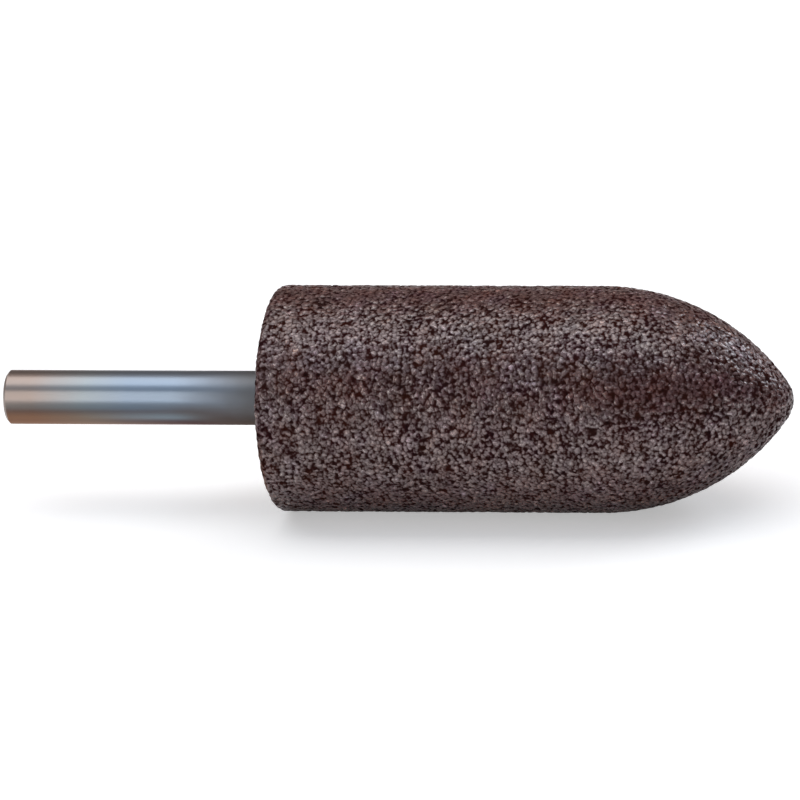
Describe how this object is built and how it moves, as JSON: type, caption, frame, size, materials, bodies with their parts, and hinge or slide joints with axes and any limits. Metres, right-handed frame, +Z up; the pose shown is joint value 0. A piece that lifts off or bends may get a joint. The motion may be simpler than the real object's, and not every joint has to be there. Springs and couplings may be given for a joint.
{
  "type": "mounted point",
  "caption": "Bullet-shaped abrasive mounted point with a blunt pointed nose, cemented onto a straight round steel shank.",
  "frame": {"origin": "centre of the head's back face, on the spin axis, where the free shank begins", "axes": "+X along the spin axis towards the tip, -X along the shank, +Z up"},
  "size_m": [0.089, 0.025, 0.025],
  "materials": {
    "bonded_abrasive": "matte",
    "ground_steel": "polished",
    "cement": "matte"
  },
  "bodies": {
    "root": {"abrasive_head": "bonded_abrasive", "shank": "ground_steel", "cement": "cement"}
  },
  "joints": []
}
